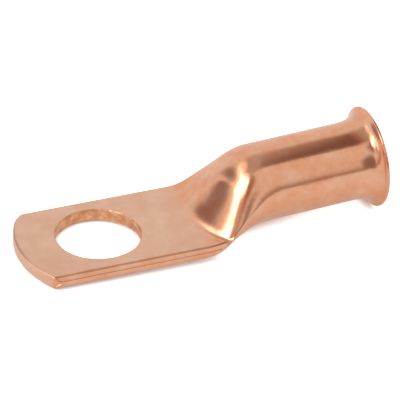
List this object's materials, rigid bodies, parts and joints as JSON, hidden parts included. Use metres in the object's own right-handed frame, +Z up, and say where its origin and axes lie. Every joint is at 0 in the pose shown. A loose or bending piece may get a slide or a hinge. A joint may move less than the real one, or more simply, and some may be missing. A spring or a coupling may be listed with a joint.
{
  "type": "copper cable lug",
  "caption": "Seamless copper tube lug: flat palm with a stud hole, a pressed ramp and a round barrel with a belled mouth for a stranded cable.",
  "frame": {"origin": "centre of the stud hole on the palm's underside, the face that meets the terminal", "axes": "+X along the lug to the cable mouth, +Z up through the stud hole, away from the terminal"},
  "size_m": [0.0601, 0.0196, 0.0165],
  "materials": {
    "copper": "bare bright copper, satin on the pressed palm and polished on the ramp and barrel"
  },
  "bodies": {
    "root": {"lug": "copper"}
  },
  "joints": []
}
